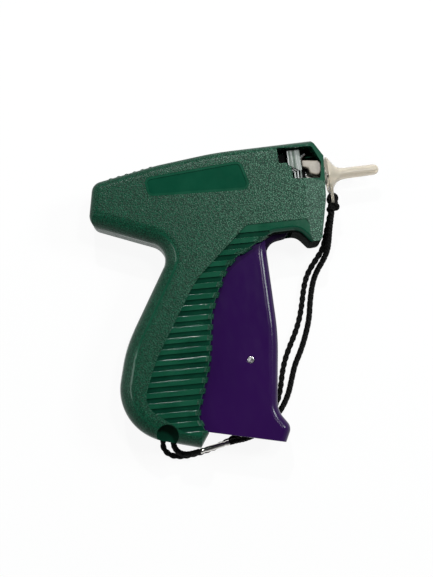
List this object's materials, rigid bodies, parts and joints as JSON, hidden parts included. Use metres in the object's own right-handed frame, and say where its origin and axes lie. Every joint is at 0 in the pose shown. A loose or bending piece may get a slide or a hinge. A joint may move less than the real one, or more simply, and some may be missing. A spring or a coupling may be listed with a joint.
{
  "type": "tag attacher gun",
  "caption": "Hand-held tagging gun: moulded pistol housing, squeeze trigger, push-rod drive, slotted needle under a clear guard, clip window and looped lanyard.",
  "frame": {"origin": "the trigger's pivot axis where it meets the flat outside face of the left cover, which the gun lies on", "axes": "+X along the needle towards its tip, +Y from the grip up to the top of the barrel, +Z through the thickness, up from the face that it lies on"},
  "size_m": [0.1353, 0.1368, 0.025],
  "materials": {
    "housing": "textured, moulded in dark green",
    "trigger": "smooth, moulded in dark purple",
    "inner_plastic": "moulded, dark grey",
    "lock_grey": "moulded, light grey",
    "feed_white": "moulded, off white",
    "clear_cap": "translucent, milky",
    "clear_tags": "clear",
    "steel": "bright",
    "spring_steel": "drawn wire",
    "bracket_steel": "zinc plated",
    "cord": "braided, black",
    "ferrule": "polished"
  },
  "bodies": {
    "frame": {"left_cover": "housing", "right_cover": "housing", "cover_screws": "steel", "lanyard_post": "steel", "trigger_pivot_pin": "steel", "lever_bracket": "bracket_steel", "lever_pivot_pin": "steel", "return_spring": "spring_steel", "magazine_block": "inner_plastic", "detent_spring": "spring_steel", "knife": "steel", "needle_hub": "feed_white", "needle_tube": "steel", "lock_pivot_pin": "steel", "lanyard_strand_near": "cord", "lanyard_strand_far": "cord", "lanyard_ferrule": "ferrule"},
    "trigger_body": {"trigger": "trigger", "trigger_link_pin": "steel"},
    "lever_body": {"drive_lever": "bracket_steel"},
    "carriage": {"slider": "inner_plastic", "slider_pin": "steel", "push_rod": "steel"},
    "feed": {"feed_wheel": "feed_white", "ratchet_wheel": "feed_white", "feed_shaft": "steel"},
    "pawl": {"feed_pawl": "steel"},
    "clip": {"tag_fasteners": "clear_tags"},
    "lock": {"needle_lock_lever": "lock_grey"},
    "cap": {"needle_cap": "clear_cap", "lanyard_hitch": "cord"}
  },
  "joints": [
    {"name": "trigger_squeeze", "type": "hinge", "parent": "frame", "child": "trigger_body", "pos_m": [0, 0, 0], "axis": [0, 0, -1], "range_deg": [0, 13], "stiffness_Nm_per_rad": 3, "springref_deg": -5.73},
    {"name": "lever_swing", "type": "hinge", "parent": "frame", "child": "lever_body", "pos_m": [-0.032, -0.042, 0], "axis": [0, 0, -1], "range_deg": [0, 40.3]},
    {"name": "slider_stroke", "type": "slide", "parent": "frame", "child": "carriage", "axis": [1, 0, 0], "range_m": [0, 0.04205], "deforming": ["return_spring"]},
    {"name": "feed_turn", "type": "hinge", "parent": "frame", "child": "feed", "pos_m": [0, 0.02055, 0.0075], "axis": [1, 0, 0], "range_deg": [0, 22.5]},
    {"name": "pawl_swing", "type": "hinge", "parent": "frame", "child": "pawl", "pos_m": [0, 0.0134, 0.00608], "axis": [1, 0, 0], "range_deg": [-14.1, 0]},
    {"name": "clip_feed", "type": "slide", "parent": "frame", "child": "clip", "axis": [0, -1, 0], "range_m": [0, 0.0017]},
    {"name": "lock_turn", "type": "hinge", "parent": "frame", "child": "lock", "pos_m": [0.0149, 0.0189, 0], "axis": [0, 0, -1], "range_deg": [0, 40]},
    {"name": "cap_pull", "type": "slide", "parent": "frame", "child": "cap", "axis": [1, 0, 0], "range_m": [0, 0.026]}
  ],
  "couplings": [
    {"joint": "lever_swing", "follows": "trigger_squeeze", "ratio": 3.1},
    {"joint": "slider_stroke", "follows": "trigger_squeeze", "m_per_rad": 0.18533},
    {"joint": "feed_turn", "follows": "clip_feed", "rad_per_m": 230.99},
    {"joint": "pawl_swing", "follows": "clip_feed", "rad_per_m": -144.6}
  ]
}
